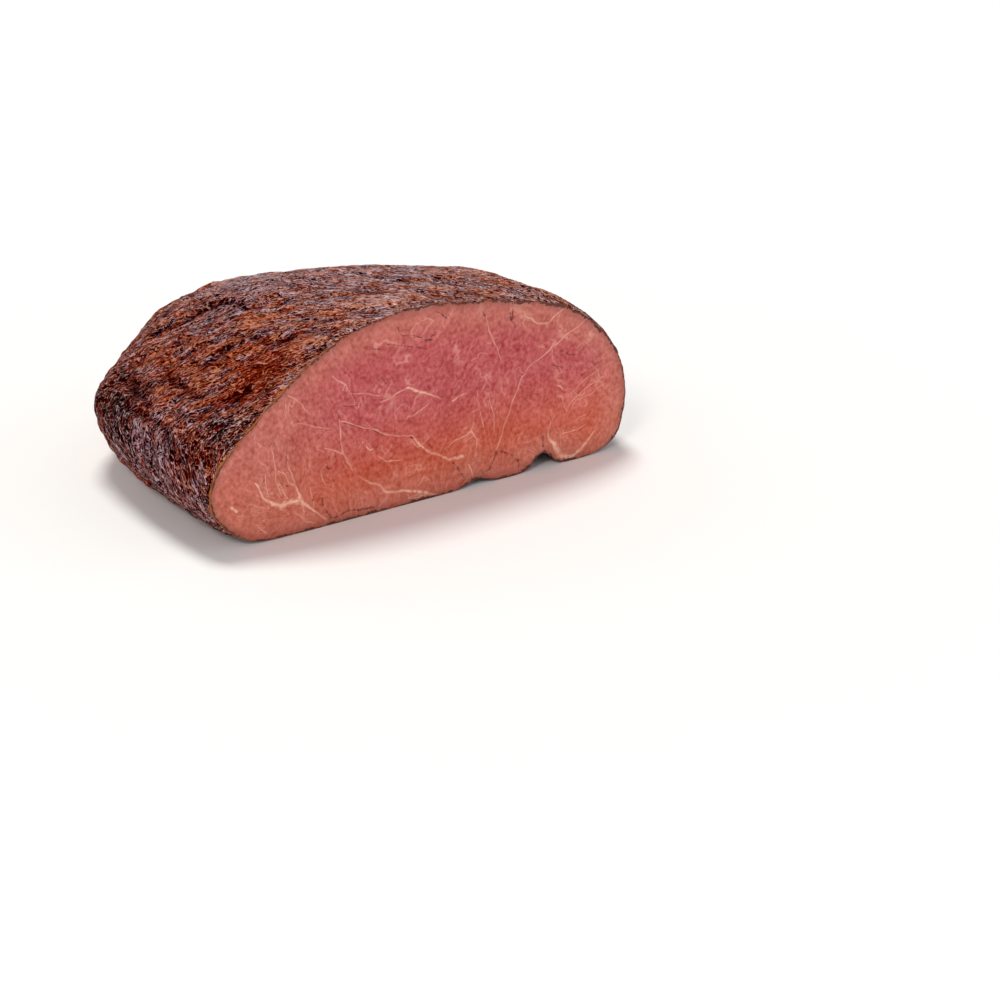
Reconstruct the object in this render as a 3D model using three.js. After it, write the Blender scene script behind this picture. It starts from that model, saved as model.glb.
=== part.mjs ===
// Smoked roast beef: half of a large boneless joint, cut straight across and lying on its flat underside.
// Millimetres, +Z up. The cut face looks along -Y and the joint runs back from it along +Y.
// Places across and up are measured from the left end of the cut's base line until the joint is centred.

import * as THREE from "three";
import { ImprovedNoise } from "three/addons/math/ImprovedNoise.js";

// Driving dimensions.
const DEPTH = 215; // from the cut face back to the far end
const MIDDLE = 86; // across: the line that the far end closes on
const WAIST = 32; // height of the widest line of the cut face
const CROWN = 111; // height of the cut face
const END_HEIGHT = 48; // height of the far end's tip
const SAG = 0.8; // how far the soft underside settles on what it rests on, behind the cut
const RIGHT_BULGE = 0.147; // share by which the right flank swells behind the cut
const RIGHT_FLARE = 0.7; // how abruptly that swelling starts: below 1 it flares out at the cut
const LEFT_PINCH = 0.028; // share by which the left flank draws in
const CROWN_BULGE = 3.7; // swell of the top behind the cut
const CROWN_TILT = 0.027; // extra swell for each millimetre to the right

// How squarely the joint rounds off towards its far end: 2 is an ellipse, more is boxier.
const LEFT_POWER = 2.39;
const RIGHT_POWER = 2.33;
const TOP_POWER = 2.03;
const BASE_POWER = 6;
const RISE_POWER = 3;

// Outline of the cut face as [across, up], from the lower left corner over the top and back along the base.
const CUT_OUTLINE = [
  [-34, 3], [-50, 13], [-60, 30], [-55, 44], [-39, 59], [-12, 80], [15, 97], [45, 107.5],
  [80, 111], [120, 107.3], [160, 100.5], [190, 92], [215, 74.5], [231, 52], [234, 28], [227, 7],
  [211, 1], [190, 0], [150, 0], [100, 0], [50, 0], [0, 0],
];

// Seams between the muscles: notches in the base line that run back under the joint and fade.
const SEAMS = [
  { across: 124, height: 5, halfWidth: 8, reach: 90 },
  { across: 172, height: 11, halfWidth: 7, reach: 110 },
];

// Broad swellings (height above 0) and hollows (below 0) of the crust, each about a place in the joint.
const SWELLINGS = [
  { place: [-46, 104, 16], radius: 38, height: -2.8 }, // lower left flank
  { place: [16, 194, 58], radius: 24, height: -2.8 }, // left shoulder of the far end
  { place: [46, 196, 74], radius: 13, height: 1.6 }, // knob above that shoulder
  { place: [-2, 34, 90], radius: 26, height: -1.8 }, // beside the cut's upper left edge
  { place: [100, 84, 112], radius: 34, height: -1.6 }, // middle of the top
  { place: [178, 96, 94], radius: 28, height: 0.8 }, // right of the top
  { place: [40, 90, 104], radius: 30, height: 1.2 }, // left of the top
  { place: [150, 200, 46], radius: 28, height: -3 }, // right shoulder of the far end
  { place: [238, 120, 52], radius: 30, height: -2.6 }, // behind the right flank
  { place: [244, 60, 36], radius: 34, height: 1.8 }, // right flank
];

// Folds of the crust: grooves (height below 0) and ridges (above 0) that follow a few places.
const FOLDS = [
  { places: [[14, 150, 76], [24, 132, 88], [43, 109, 98]], halfWidth: 6, height: -2.6 },
  { places: [[-3, 67, 84], [10, 56, 92], [18, 36, 97], [34, 12, 103]], halfWidth: 5, height: -1.9 },
  { places: [[-29, 47, 63], [-20, 32, 72], [-16, 20, 76]], halfWidth: 5, height: -1.6 },
  { places: [[-38, 110, 50], [-45, 60, 49], [-56, 8, 42]], halfWidth: 8, height: 1.4 },
  { places: [[-8, 152, 59], [0, 131, 73], [4, 112, 82]], halfWidth: 5, height: 1.5 },
  { places: [[206, 40, 92], [196, 90, 88], [172, 140, 78]], halfWidth: 6, height: -2.2 },
  { places: [[92, 200, 66], [124, 192, 68], [156, 172, 72]], halfWidth: 6, height: -2.2 },
  { places: [[30, 194, 36], [60, 209, 40], [98, 214, 38]], halfWidth: 7, height: -2 },
];

// Finer relief of the crust: lumps, and wrinkles that run round the joint side by side and wander.
const LUMP = { size: 40, height: 1.4 };
const WRINKLE = { along: 30, across: 11, height: 1.1, wander: 40 };
const RIM_RELIEF = 0.2; // share of the relief at the cut's edge
const RIM_QUIET = 18; // the relief grows to full height over this distance behind the cut
const BASE_QUIET = 12; // and over this height above what it rests on

// Grid: quads across and up each end, and rows of quads from the cut face to the far end's cap.
const ACROSS = 32;
const UP = 12;
const ROWS = 46;
const AROUND = 2 * (ACROSS + UP);
const CAP_START = 0.92; // share of the depth where the cap takes over
const OUTLINE_STEPS = 1200;

const noise = new ImprovedNoise();

const bell = (distance, halfWidth) => Math.exp(-((distance / halfWidth) ** 2));

// Width or height left at a share of the way to the far end.
const roundOff = (share, power) => Math.max(0, 1 - share ** power) ** (1 / power);

// Height that the seams' notches add to the base line.
function seamHeight(across, back) {
  let height = 0;
  for (const seam of SEAMS) {
    const fade = THREE.MathUtils.clamp(1 - back / seam.reach, 0, 1);
    height += seam.height * fade * bell(across - seam.across, seam.halfWidth);
  }
  return height;
}

// Points spaced evenly along the cut's outline, notches included.
function traceOutline() {
  const corners = CUT_OUTLINE.map(([across, up]) => new THREE.Vector3(across, 0, up));
  const curve = new THREE.CatmullRomCurve3(corners, true, "centripetal");
  curve.arcLengthDivisions = OUTLINE_STEPS;
  const points = curve.getSpacedPoints(OUTLINE_STEPS);
  for (const point of points) {
    const underside = 1 - THREE.MathUtils.smoothstep(point.z, 0, WAIST);
    point.z = Math.max(0, point.z) + seamHeight(point.x, 0) * underside;
  }
  const lengths = [0];
  for (let i = 1; i < points.length; i++) {
    lengths.push(lengths[i - 1] + points[i].distanceTo(points[i - 1]));
  }
  return { points, lengths, total: lengths[lengths.length - 1] };
}

const outline = traceOutline();

// Point of the cut's outline at a share of the way round.
function outlineAt(share) {
  const wanted = share * outline.total;
  let i = 1;
  while (i < outline.lengths.length - 1 && outline.lengths[i] < wanted) i++;
  const span = outline.lengths[i] - outline.lengths[i - 1];
  const part = (wanted - outline.lengths[i - 1]) / span;
  return outline.points[i - 1].clone().lerp(outline.points[i], part);
}

// Smooth surface of the crust: an outline point carried back to a share of the depth.
function crustPoint(around, share) {
  const edge = outlineAt(around);
  const back = share * DEPTH;
  const offset = edge.x - MIDDLE;
  const swell = Math.sin(Math.PI * share);
  const left = roundOff(share, LEFT_POWER) * (1 - LEFT_PINCH * swell);
  const right = roundOff(share, RIGHT_POWER) * (1 + RIGHT_BULGE * swell ** RIGHT_FLARE);
  const waist = WAIST + (END_HEIGHT - WAIST) * share ** RISE_POWER;
  const bulge = (CROWN_BULGE + CROWN_TILT * offset) * swell;
  const crown = waist + (CROWN - WAIST + bulge) * roundOff(share, TOP_POWER);
  const base = waist * (1 - roundOff(share, BASE_POWER));
  const seams = edge.z < WAIST ? seamHeight(edge.x, back) - seamHeight(edge.x, 0) : 0;
  const upper = waist + ((edge.z - WAIST) * (crown - waist)) / (CROWN - WAIST);
  const lower = base + (Math.max(0, edge.z + seams) * (waist - base)) / WAIST;
  const settled = (edge.z < WAIST ? lower : upper) - SAG * THREE.MathUtils.smoothstep(back, 0, RIM_QUIET);
  return new THREE.Vector3(MIDDLE + offset * (offset < 0 ? left : right), back, Math.max(0, settled));
}

// Share of the way round for a place on an end's grid, both from -1 to 1.
function aroundAt(across, up) {
  const reach = Math.max(Math.abs(across), Math.abs(up)) || 1;
  const a = across / reach;
  const b = up / reach;
  let steps;
  if (a <= -1) steps = ((b + 1) / 2) * UP;
  else if (b >= 1) steps = UP + ((a + 1) / 2) * ACROSS;
  else if (a >= 1) steps = UP + ACROSS + ((1 - b) / 2) * UP;
  else steps = 2 * UP + ACROSS + ((1 - a) / 2) * ACROSS;
  return (steps / AROUND) % 1;
}

// Number of the rim vertex at a corner of an end's grid.
function rimIndex(i, j) {
  return Math.round(aroundAt((2 * i) / ACROSS - 1, (2 * j) / UP - 1) * AROUND) % AROUND;
}

// Vertices of one end: its rim is the given row, and its inside is placed by the given function.
function endGrid(vertices, rowStart, place) {
  const grid = [];
  for (let i = 0; i <= ACROSS; i++) {
    grid.push([]);
    for (let j = 0; j <= UP; j++) {
      const onRim = i === 0 || j === 0 || i === ACROSS || j === UP;
      if (onRim) {
        grid[i].push(rowStart + rimIndex(i, j));
      } else {
        const across = (2 * i) / ACROSS - 1;
        const up = (2 * j) / UP - 1;
        const reach = Math.max(Math.abs(across), Math.abs(up));
        grid[i].push(vertices.length);
        vertices.push(place(aroundAt(across, up), reach));
      }
    }
  }
  return grid;
}

// Two triangles for each quad of an end's grid.
function endFaces(faces, grid, flipped) {
  for (let i = 0; i < ACROSS; i++) {
    for (let j = 0; j < UP; j++) {
      const quad = [grid[i][j], grid[i + 1][j], grid[i + 1][j + 1], grid[i][j + 1]];
      if (flipped) quad.reverse();
      faces.push(quad[0], quad[1], quad[2], quad[0], quad[2], quad[3]);
    }
  }
}

// Smooth closed shape, without relief.
function smoothJoint() {
  const vertices = [];
  const faces = [];
  const lastAngle = Math.asin(CAP_START);
  for (let row = 0; row <= ROWS; row++) {
    const share = Math.sin((row / ROWS) * lastAngle);
    for (let step = 0; step < AROUND; step++) vertices.push(crustPoint(step / AROUND, share));
  }
  for (let row = 0; row < ROWS; row++) {
    for (let step = 0; step < AROUND; step++) {
      const next = (step + 1) % AROUND;
      const near = row * AROUND;
      const far = near + AROUND;
      faces.push(near + step, near + next, far + next, near + step, far + next, far + step);
    }
  }
  const centre = new THREE.Vector3(MIDDLE, 0, CROWN / 2);
  const onCut = (around, reach) => centre.clone().lerp(outlineAt(around), reach);
  endFaces(faces, endGrid(vertices, 0, onCut), false);
  const capPower = (LEFT_POWER + RIGHT_POWER) / 2;
  const capSize = roundOff(CAP_START, capPower);
  const onCap = (around, reach) => crustPoint(around, roundOff(reach * capSize, capPower));
  endFaces(faces, endGrid(vertices, ROWS * AROUND, onCap), true);

  const geometry = new THREE.BufferGeometry().setFromPoints(vertices);
  geometry.setIndex(faces);
  geometry.computeVertexNormals();
  return geometry;
}

// Distance from a place to the nearest point of a fold's line.
function distanceToLine(place, corners) {
  const nearest = new THREE.Vector3();
  let distance = Infinity;
  for (let i = 1; i < corners.length; i++) {
    const stretch = new THREE.Line3(new THREE.Vector3(...corners[i - 1]), new THREE.Vector3(...corners[i]));
    stretch.closestPointToPoint(place, true, nearest);
    distance = Math.min(distance, nearest.distanceTo(place));
  }
  return distance;
}

// Height of the joint's broad swellings, hollows and folds at a place on the crust.
function broadRelief(place) {
  let height = 0;
  for (const swelling of SWELLINGS) {
    const distance = place.distanceTo(new THREE.Vector3(...swelling.place));
    height += swelling.height * bell(distance, swelling.radius);
  }
  for (const fold of FOLDS) height += fold.height * bell(distanceToLine(place, fold.places), fold.halfWidth);
  return height;
}

// Height of the crust's lumps and wrinkles at a place: the wrinkles are rounded crests with sharp creases.
function fineRelief(place) {
  const { x, y, z } = place;
  const back = DEPTH * Math.asin(Math.min(1, y / DEPTH));
  const lumps = LUMP.height * noise.noise(x / LUMP.size, y / LUMP.size, z / LUMP.size);
  const bend = noise.noise(z / WRINKLE.wander, x / WRINKLE.wander, y / WRINKLE.wander);
  const crease = noise.noise(x / WRINKLE.along, back / WRINKLE.across + bend, z / WRINKLE.along);
  return lumps + WRINKLE.height * (3 * Math.abs(crease) - 0.8);
}

// Raises the relief on the crust and leaves the cut face and the resting underside flat.
function raiseRelief(geometry) {
  const position = geometry.getAttribute("position");
  const normal = geometry.getAttribute("normal");
  const place = new THREE.Vector3();
  const outward = new THREE.Vector3();
  const rimVertices = AROUND;
  const crustEnd = (ROWS + 1) * AROUND;
  const faceEnd = crustEnd + (ACROSS - 1) * (UP - 1);
  for (let i = 0; i < position.count; i++) {
    const onCutFace = i >= crustEnd && i < faceEnd;
    if (onCutFace) continue;
    place.fromBufferAttribute(position, i);
    outward.fromBufferAttribute(normal, i);
    if (i < rimVertices) outward.setY(0).normalize();
    const behindRim = THREE.MathUtils.smoothstep(place.y, 0, RIM_QUIET);
    const rimFade = THREE.MathUtils.lerp(RIM_RELIEF, 1, behindRim);
    const baseFade = THREE.MathUtils.smoothstep(place.z, 0, BASE_QUIET);
    const height = broadRelief(place) + fineRelief(place);
    place.addScaledVector(outward, height * rimFade * baseFade);
    position.setXYZ(i, place.x, place.y, Math.max(0, place.z));
  }
}

// Stands the joint on its origin: centred across and along, with its underside at height 0.
function centreOnOrigin(geometry) {
  geometry.computeBoundingBox();
  const middle = geometry.boundingBox.getCenter(new THREE.Vector3());
  geometry.translate(-middle.x, -middle.y, -geometry.boundingBox.min.z);
  geometry.computeVertexNormals();
}

function roastBeef() {
  const geometry = smoothJoint();
  raiseRelief(geometry);
  centreOnOrigin(geometry);
  const crust = new THREE.MeshStandardMaterial({ color: 0x6e3829, roughness: 0.42, metalness: 0 });
  const joint = new THREE.Mesh(geometry, crust);
  joint.name = "roast_beef";
  return joint;
}

const model = new THREE.Group();
model.add(roastBeef());

export default model;
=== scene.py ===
"""Smoked roast beef: one large joint cut straight across, with a wrinkled browned crust.

The finished piece is a refined copy of the CAD solid, so it keeps the solid's place and size. Relief that
the solid is too coarse for is raised on the copy, and two node materials dress it: the smoked crust, and
the moist pink meat of the cut face with its marbling.
"""
import math

import bpy
import numpy as np
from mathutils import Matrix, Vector, noise


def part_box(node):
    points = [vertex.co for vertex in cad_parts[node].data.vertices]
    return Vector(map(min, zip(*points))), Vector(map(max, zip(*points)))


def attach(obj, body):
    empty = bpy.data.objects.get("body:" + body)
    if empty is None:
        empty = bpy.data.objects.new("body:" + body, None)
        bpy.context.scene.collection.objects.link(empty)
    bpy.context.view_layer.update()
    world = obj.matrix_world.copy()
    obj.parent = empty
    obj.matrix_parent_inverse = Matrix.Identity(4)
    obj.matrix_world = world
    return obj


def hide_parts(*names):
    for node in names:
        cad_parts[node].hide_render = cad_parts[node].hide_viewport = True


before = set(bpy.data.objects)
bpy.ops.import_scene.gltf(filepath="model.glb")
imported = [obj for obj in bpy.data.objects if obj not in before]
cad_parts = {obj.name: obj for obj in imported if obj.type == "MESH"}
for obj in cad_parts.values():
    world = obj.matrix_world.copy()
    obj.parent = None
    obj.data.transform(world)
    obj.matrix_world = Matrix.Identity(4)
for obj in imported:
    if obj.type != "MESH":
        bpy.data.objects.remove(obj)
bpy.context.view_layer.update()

bl_info = {
    "name": "Smoked Roast Beef",
    "version": (1, 0, 0),
    "blender": (4, 5, 0),
    "location": "View3D > Sidebar > Roast",
    "description": "Makes a smoked roast beef joint and a plain studio stage",
    "category": "Mesh",
}

NODE = "roast_beef"
MM = 0.001
TRIANGLE_LIMIT = 200000
NOISE_SEED = 5

# Settings that many nodes share. A colour mix takes its share at input 0 and its two colours at inputs 6
# and 7, and gives the mixed colour at output 2.
SMOOTH = {"interpolation_type": "SMOOTHSTEP"}
COLOUR_MIX = {"data_type": "RGBA"}
TIMES = {"operation": "MULTIPLY"}
HIGHER = {"operation": "MAXIMUM"}

# Places on the joint are measured in millimetres from the left end of the cut's base line: across to the
# right, depth behind the cut, and up. This is where that end lies in the shared frame, and the cut's plane.
BASE_LINE_LEFT = -95.28 * MM
CUT_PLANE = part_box(NODE)[0].y

# Marbling seen on the cut: each stroke is a run of fat as (across, up, width) points in millimetres.
FAT_STROKES = (
    # the broad branching run low on the left
    ((-30, 34, .9), (-26, 29, 1.0), (-23, 24, .9), (-18, 20, 1.3), (-12, 17, 1.9), (-7, 19, 1.7),
     (0, 19, 2.2), (4, 15, 1.3), (10, 10, .9), (17, 4, .7)),
    ((-19, 51, .4), (-16, 41, .6), (-15, 33, .6), (-13, 24, .5)),
    ((-8, 46, .5), (-8, 40, .5), (-3, 29, .8), (0, 21, 1.3)),
    ((-14, 38, .5), (-10, 35, .6), (-7, 30, .6), (-3, 28, .8)),
    ((-13, 31, .4), (-9, 22, .8)),
    ((-23, 38, .5), (-20, 24, .5)),
    ((7, 24, .5), (10, 14, .4)),
    ((-3, 12, .5), (2, 6, .5), (10, 3, .4)),
    ((1, 16, .4), (2, 10, .5), (2, 6, .4)),
    ((-28, 9, .6), (-22, 4, .7)),
    ((-46, 25, 1.2), (-42, 22, 1.4)),
    # short runs and stars left of the middle
    ((18, 35, .5), (14, 33, .5), (15, 29, .5), (18, 23, .4)),
    ((28, 58, .5), (28, 53, .7), (28, 47, .5)),
    ((17, 44, .4), (29, 39, .8), (33, 33, .8), (36, 28, .4)),
    ((28, 45, .4), (29, 39, .7)),
    ((45, 40, .5), (48, 37, .9), (51, 37, .4)),
    ((54, 32, .4), (60, 27, .7), (69, 27, .5)),
    ((-8, 79, .4), (2, 72, .6), (8, 66, .4)),
    ((23, 84, .4), (31, 77, .6), (36, 71, .4)),
    ((-2, 62, .4), (8, 59, .6), (20, 55, .4)),
    # the long wavering seam across the middle
    ((29, 57, .5), (44, 50, .5), (59, 44, .6), (67, 40, .5), (78, 39, .5), (83, 33, .9), (91, 26, 1.0),
     (99, 22, .9), (105, 19, 1.0), (113, 19, 1.2)),
    # along the base
    ((40, 24, .4), (48, 18, .7), (55, 15, .9), (60, 10, .9), (76, 7, 1.2), (86, 4, 1.1), (94, 1, .8)),
    ((74, 2.5, .5), (88, 1.5, .6)),
    ((82, 9, .4), (86, 14, .6), (90, 11, .4)),
    # above the middle
    ((55, 62, .4), (68, 65, .6), (75, 67, 1.0), (85, 62, 1.1), (98, 56, .6)),
    ((106, 53, .9), (111, 55, 1.0), (117, 55, .5)),
    ((73, 49, .4), (75, 51, .8), (78, 50, .5), (89, 55, .4)),
    ((30, 74, .4), (42, 70, .5), (55, 66, .4)),
    # right of the middle
    ((103, 26, .4), (106, 29, .6), (119, 33, .7), (124, 27, .7), (123, 18, .5)),
    ((119, 33, .6), (121, 38, .4)),
    ((125, 44, .5), (129, 33, .5)),
    ((132, 48, .5), (136, 39, .6), (136, 28, .4)),
    ((118, 14, .7), (121, 7, .7)),
    # the main seam, rising to the right
    ((206, 83, .4), (186, 74, .6), (174, 67, .6), (161, 61, .5), (156, 56, .5), (150, 45, .7), (145, 35, .7),
     (141, 25, .9), (138, 17, .8)),
    ((130, 97, .4), (136, 81, .5), (141, 68, .4)),
    ((158, 95, .4), (159, 92, .6), (167, 86, .8), (175, 85, .9), (175, 82, .6)),
    ((175, 85, .8), (181, 88, .6), (187, 91, .5)),
    ((181, 48, .5), (184, 46, 1.0), (186, 43, .5)),
    ((196, 66, .3), (203, 69, .4), (207, 65, .3)),
    # the fan of fine lines at the far right
    ((190, 33, .4), (205, 41, .5), (217, 45, .4)),
    ((189, 38, .3), (203, 46, .4), (214, 50, .3)),
    ((196, 34, .3), (208, 37, .4), (218, 40, .3)),
    ((207, 55, .4), (212, 50, .4), (215, 44, .3)),
    # the forked fat of the right lobe
    ((178, 27, .5), (176, 22, .6), (177, 16, 1.2), (181, 11, 1.9), (185, 6, 2.1), (191, 2.5, 1.6),
     (196, 3, 1.5), (200, 5, 1.4), (205, 9, 1.3), (209, 12, .9), (212, 15, .5)),
    ((186, 17, .5), (193, 18, .7), (204, 19, .4)),
)
# Splits and pores, where the meat has opened: (across, up, width). Their dark colour is painted shade.
SPLIT_STROKES = (
    ((127, 101, .7), (130, 96, .5)),
    ((147, 101, .6), (148, 91, .8), (152, 86, .5)),
    ((95, 106, .5), (103, 101, .6)),
    ((68, 103, .6), (71, 97, .7), (76, 96, .4)),
    ((77, 96, .4), (89, 92, .5), (97, 93, .3)),
    ((85, 94, .4), (94, 90, .4)),
    ((60, 94, .3), (70, 92, .5), (80, 88, .6), (88, 87, .3)),
    ((57, 77, .4), (60, 72, .4)),
    ((48, 93, .3), (56, 93, .4)),
    ((-9, 45, .5), (-8, 43, .5)),
    ((-24, 36, .6), (-23, 34, .6)),
    ((-9, 29, .5), (-7, 28, .5)),
    ((31, 65, .3), (40, 64, .4)),
    ((18, 34, .6), (20, 32, .5)),
    ((9, 17, .9), (9.4, 16.8, .9)),
    ((77, 38, .9), (79, 37, .9)),
    ((90, 31, .6), (91, 29, .5)),
    ((155, 58, .6), (156, 57, .6)),
    ((22, 26, .5), (24, 23, .5)),
    ((185, 66, .4), (192, 63, .5), (198, 62, .3)),
    ((178, 60, .3), (186, 57, .4)),
    ((201, 49, .4), (213, 54, .5)),
    ((29, 56.3, .3), (44, 49.3, .4), (59, 43.4, .3)),
)
# Browned seams, where smoke and juices ran in from the edge: (across, up, width).
BROWN_STROKES = (
    ((106, 18, 1.4), (111, 11, 1.6), (117, 3, 2.2)),
    ((138, 17, 1.0), (132, 7, 1.6), (124, 3, 2.0)),
    ((138, 17, .9), (148, 13, 1.1), (153, 9, 1.0), (154, 4, 1.4)),
    ((15, 17, .8), (17, 11, 1.1), (21, 4, 1.4)),
    ((22, 3, 1.0), (34, 5, .8), (50, 3, 1.1)),
    ((150, 100, .9), (149, 92, 1.0), (152, 86, .7)),
    ((173, 19, 1.1), (172, 13, 1.5)),
)
# Patches of the crust that differ from the rest: centre (across, depth, up), reach, strength.
# CLEAR ones are thin and glow orange through the fat glaze; SMOKED ones are nearly black; DRY_AND_SHEEN ones
# turn mauve-grey, partly a dried bloom and partly a painted sheen of the bright floor and backdrop, mostly
# on the low left flank and the top; NETTED ones show a net of pale fibres.
CLEAR = (
    ((-1, 32, 84), 18, 1.0), ((10, 26, 91), 15, .9), ((-10, 36, 78), 12, .9), ((-9, 88, 73), 10, .8),
    ((-14, 68, 72), 10, .7), ((-2, 125, 72), 13, .7), ((-27, 94, 58), 12, .5), ((-47, 25, 50), 8, .7),
    ((-54, 3, 46), 7, .8), ((22, 74, 97), 8, .6), ((-4, 143, 66), 13, .5), ((167, 58, 101), 12, .4),
    ((173, 39, 100), 10, .4), ((84, 81, 107), 7, .5), ((94, 55, 109), 7, .5), ((205, 90, 60), 18, .4),
    ((150, 180, 70), 20, .3), ((60, 205, 50), 16, .3),
)
SMOKED = (
    ((-35, 24, 60), 15, 1.0), ((-17, 150, 51), 16, .7), ((-49, 19, 50), 11, .7), ((37, 136, 91), 10, .5),
    ((-20, 28, 69), 9, .5), ((-12, 12, 76), 7, .6), ((-40, 112, 42), 14, .7), ((-28, 10, 61), 11, .9),
    ((-42, 8, 53), 9, .8), ((38, 103, 99), 7, .4), ((-31, 130, 42), 16, .9), ((-24, 149, 44), 14, .9),
    ((30, 2, 97), 9, .5), ((45, 1, 101), 8, .5), ((210, 50, 40), 16, .6), ((120, 205, 40), 20, .6),
    ((10, 195, 45), 16, .5),
)
DRY_AND_SHEEN = (
    ((-38, 115, 36), 20, .8), ((-44, 85, 40), 22, .85), ((-51, 60, 34), 22, .8), ((-57, 36, 30), 20, .6),
    ((-61, 12, 26), 18, .5), ((36, 115, 95), 26, .5), ((72, 80, 107), 34, .3), ((121, 65, 106), 36, .3),
    ((155, 40, 103), 26, .3), ((80, 140, 100), 40, .5), ((215, 110, 30), 26, .8), ((90, 212, 30), 26, .8),
)
NETTED = (((-1, 30, 84), 17, 1.0), ((10, 27, 91), 13, .8), ((-12, 31, 76), 11, .8))
# Folds of the crust: depth, reach, then the run it follows. A negative depth stands up as a ridge.
FOLDS = (
    (1.9, 2.4, ((15, 159, 70), (19, 157, 73), (22, 146, 79), (27, 138, 85), (32, 133, 89), (40, 127, 93),
                (43, 117, 96), (35, 96, 101))),
    (1.1, 2.3, ((-2, 74, 80), (7, 70, 88), (15, 65, 93), (16, 57, 93), (17, 45, 94), (24, 34, 98),
                (30, 26, 101), (37, 15, 103))),
    (1.2, 2.0, ((-5, 101, 74), (1, 97, 79), (6, 89, 84))),
    (1.3, 2.4, ((-32, 49, 59), (-25, 45, 65), (-18, 34, 70), (-14, 25, 75))),
    (.9, 1.8, ((38, 89, 102), (43, 83, 105), (49, 79, 106))),
    (.9, 1.8, ((52, 66, 106), (60, 61, 108), (72, 55, 110))),
    (.8, 1.8, ((118, 65, 106), (137, 66, 105))),
    (1.2, 2.8, ((-11, 107, 68), (-18, 84, 67), (-22, 60, 67))),
    (1.2, 2.8, ((-13, 140, 58), (-23, 119, 56), (-30, 95, 55))),
    (1.1, 2.4, ((-25, 133, 51), (-37, 95, 51), (-40, 72, 52), (-49, 50, 48), (-58, 22, 38))),
    (1.0, 2.0, ((23, 2, 98), (35, 2, 100))),
    (-1.1, 2.6, ((-7, 154, 58), (-4, 143, 66), (3, 135, 72))),
    (-1.4, 3.2, ((37, 104, 99), (39, 102, 99))),
    # the far side
    (1.6, 2.6, ((205, 60, 82), (203, 95, 76), (190, 130, 74), (165, 160, 74))),
    (1.3, 2.4, ((212, 40, 50), (214, 80, 46), (205, 120, 40), (190, 150, 36))),
    (1.4, 2.6, ((150, 190, 60), (120, 206, 56), (90, 210, 60), (60, 205, 52))),
    (1.1, 2.2, ((100, 180, 92), (120, 160, 96), (150, 130, 96))),
)


def linear(code):
    """Turns an sRGB hex colour such as "8A3F1C" to linear red, green, blue and alpha."""
    shares = [int(code[i:i + 2], 16) / 255 for i in (0, 2, 4)]
    return tuple(s / 12.92 if s <= 0.04045 else ((s + 0.055) / 1.055) ** 2.4 for s in shares) + (1.0,)


def swatch(name, description, code):
    """A colour setting that starts as an sRGB hex code."""
    return bpy.props.FloatVectorProperty(name=name, description=description, size=4, subtype="COLOR",
                                         min=0, max=1, default=linear(code))


def length(name, description, default, high):
    """A length setting in metres."""
    return bpy.props.FloatProperty(name=name, description=description, default=default, min=0, max=high,
                                   unit="LENGTH")


class RoastSettings(bpy.types.PropertyGroup):
    """Sizes and colours of the joint"""
    lump_pitch: length("Lump spacing", "Distance between the crust's lumps", 11 * MM, 50 * MM)
    lump_height: length("Lump height", "How far the lumps stand up", 1.0 * MM, 5 * MM)
    wrinkle_pitch: length("Wrinkle spacing", "Distance between the larger wrinkles", 6.3 * MM, 30 * MM)
    wrinkle_height: length("Wrinkle height", "How far the larger wrinkles stand up", 1.3 * MM, 5 * MM)
    crease_pitch: length("Crease spacing", "Distance between the smaller creases", 3.8 * MM, 20 * MM)
    crease_height: length("Crease height", "How far the smaller creases stand up", .5 * MM, 3 * MM)
    hatch_pitch: length("Hatch spacing", "Measure of the finest ridges", 1.25 * MM, 5 * MM)
    hatch_depth: length("Hatch depth", "Depth of the finest ridges", 1.9 * MM, 5 * MM)
    rim_wander: length("Rim wander", "How far the rim of the cut strays from its line", .5 * MM, 2 * MM)
    fibre_stretch: bpy.props.FloatProperty(
        name="Fibre stretch", description="How much longer than wide the crinkles are", default=1.3, min=1)
    # The darkest colour of each crust ramp is painted shade between the ridges; the lightest is partly
    # painted highlight on the ridge tops and partly the crust's own paler tops.
    groove_shade: swatch("Groove shade", "Between the ridges of the dry crust", "060001")
    smoke: swatch("Smoke", "Lower slopes of the dry crust", "3C0E12")
    mauve: swatch("Mauve", "Upper slopes of the dry crust", "6C3036")
    bloom_and_highlight: swatch("Bloom and highlight", "Ridge tops of the dry crust", "D2ACB2")
    pit_shade: swatch("Pit shade", "Between the ridges of the clear crust", "2A0000")
    ember: swatch("Ember", "Lower slopes of the clear crust", "721404")
    glaze: swatch("Glaze", "Upper slopes of the clear crust", "962C0C")
    gilt_and_highlight: swatch("Gilt and highlight", "Ridge tops of the clear crust", "DC8A5E")
    # the near-white colour of the painted glints, painted highlights on the wet crust
    painted_glint: swatch("Painted glint", "Painted glints on the wet ridges of the crust", "F6E6DC")
    rind: swatch("Rind", "Thin line of fat beside the cut", "B06A38")
    pink: swatch("Pink meat", "Middle of the cut", "B84E50")
    rosy: swatch("Low meat", "Meat near the base", "C6583A")
    pale: swatch("Edge meat", "Meat next to the crust", "C27260")
    fat: swatch("Fat", "Marbling", "F2BCA2")
    brown: swatch("Browned edge", "Thin browned rim and seams of the cut", "58200A")
    # the dark colour inside the splits and pores is painted shade
    split: swatch("Split", "Inside splits and pores of the cut", "480E0C")


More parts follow.
